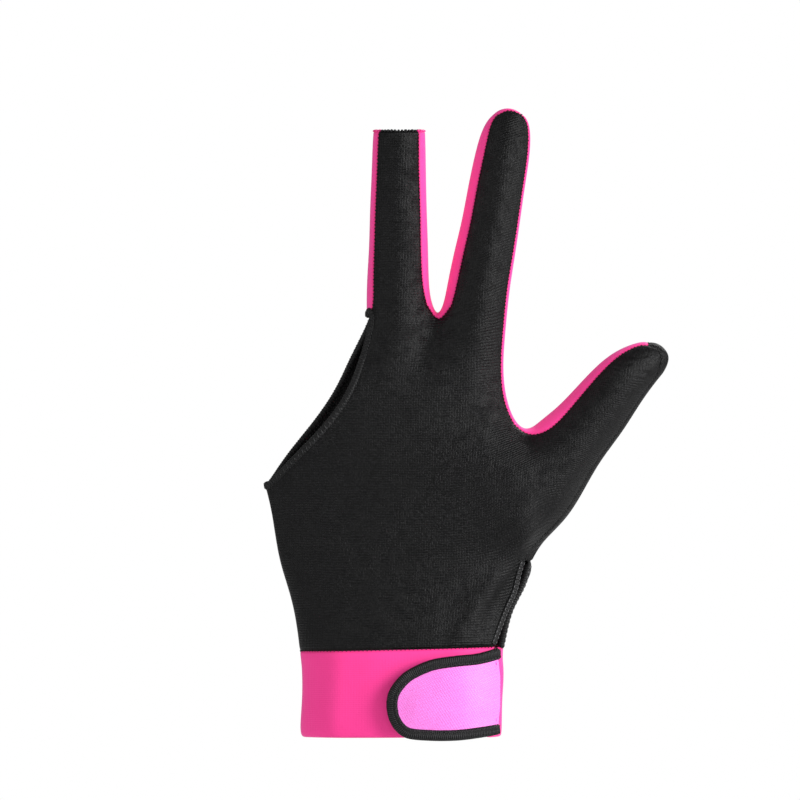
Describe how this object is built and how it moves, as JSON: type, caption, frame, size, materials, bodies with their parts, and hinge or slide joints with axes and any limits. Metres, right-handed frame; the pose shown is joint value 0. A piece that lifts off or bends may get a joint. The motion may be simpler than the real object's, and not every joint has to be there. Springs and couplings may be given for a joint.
{
  "type": "billiard glove",
  "caption": "Billiard glove for the left hand in its worn form: black back and palm, pink side strips, open-tipped middle finger, bare ring and little fingers, strapped cuff.",
  "frame": {"origin": "middle of the wrist opening, at the cuff's lower edge", "axes": "+Z towards the fingertips, -Y out of the back of the hand, +X towards the thumb"},
  "size_m": [0.1255, 0.0419, 0.1956],
  "materials": {
    "black_fabric": "matt stretch knit",
    "pink_fabric": "matt stretch knit",
    "strap_fabric": "matt stretch knit",
    "black_binding": "ribbed elastic tape",
    "hook_tape": "hook tape"
  },
  "bodies": {
    "root": {"back_panel": "black_fabric", "palm_panel": "black_fabric", "fourchette_outer_middle": "pink_fabric", "fourchette_middle_index": "pink_fabric", "fourchette_index_thumb": "pink_fabric", "cuff": "pink_fabric", "strap": "strap_fabric", "opening_hem": "black_binding", "slit_binding_back": "black_binding", "slit_binding_palm": "black_binding", "strap_binding": "black_binding", "hook_patch": "hook_tape"}
  },
  "joints": []
}
